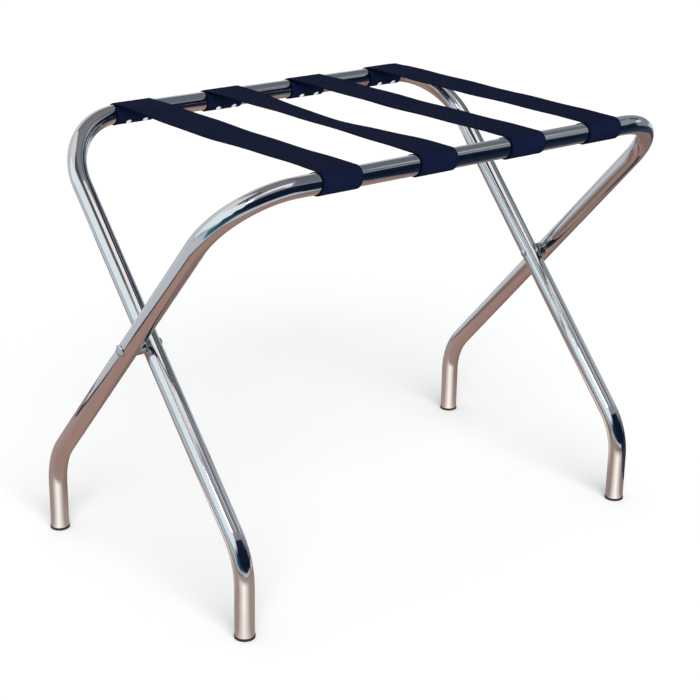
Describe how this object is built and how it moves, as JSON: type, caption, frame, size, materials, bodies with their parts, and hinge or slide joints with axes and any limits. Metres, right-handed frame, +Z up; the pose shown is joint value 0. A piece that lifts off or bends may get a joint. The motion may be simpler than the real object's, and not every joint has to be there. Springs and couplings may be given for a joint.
{
  "type": "folding luggage rack",
  "caption": "Folding luggage rack: two nested U-frames of bent chromed tube crossed on rivets like scissors, with webbing straps looped over the top bars.",
  "frame": {"origin": "on the floor under the middle of the rack, at the bottom centre of its box when it is open", "axes": "+X along the top bars, -Y to the front (the outer frame's bar), +Z up"},
  "size_m": [0.6614, 0.4076, 0.508],
  "materials": {
    "chrome_tube": "polished chrome plate",
    "bright_steel": "plated steel rivets and collars, slightly duller than the tube",
    "black_plastic": "moulded black plastic, satin",
    "webbing": "navy woven polypropylene webbing, slight sheen"
  },
  "bodies": {
    "outer_frame": {"outer_frame": "chrome_tube", "pivot_rivet_left": "bright_steel", "pivot_spacer_left": "bright_steel", "foot_cap_back_left": "black_plastic", "pivot_rivet_right": "bright_steel", "pivot_spacer_right": "bright_steel", "foot_cap_back_right": "black_plastic", "strap_1": "webbing", "strap_rivets_front_1": "bright_steel", "strap_2": "webbing", "strap_rivets_front_2": "bright_steel", "strap_3": "webbing", "strap_rivets_front_3": "bright_steel", "strap_4": "webbing", "strap_rivets_front_4": "bright_steel"},
    "inner_frame": {"inner_frame": "chrome_tube", "foot_cap_front_left": "black_plastic", "foot_cap_front_right": "black_plastic", "strap_rivets_back_1": "bright_steel", "strap_rivets_back_2": "bright_steel", "strap_rivets_back_3": "bright_steel", "strap_rivets_back_4": "bright_steel"}
  },
  "joints": [
    {"name": "fold", "type": "hinge", "parent": "outer_frame", "child": "inner_frame", "pos_m": [0, 0, 0.28505], "axis": [1, 0, 0], "range_deg": [0, 78], "deforming": ["strap_1", "strap_2", "strap_3", "strap_4"]}
  ]
}
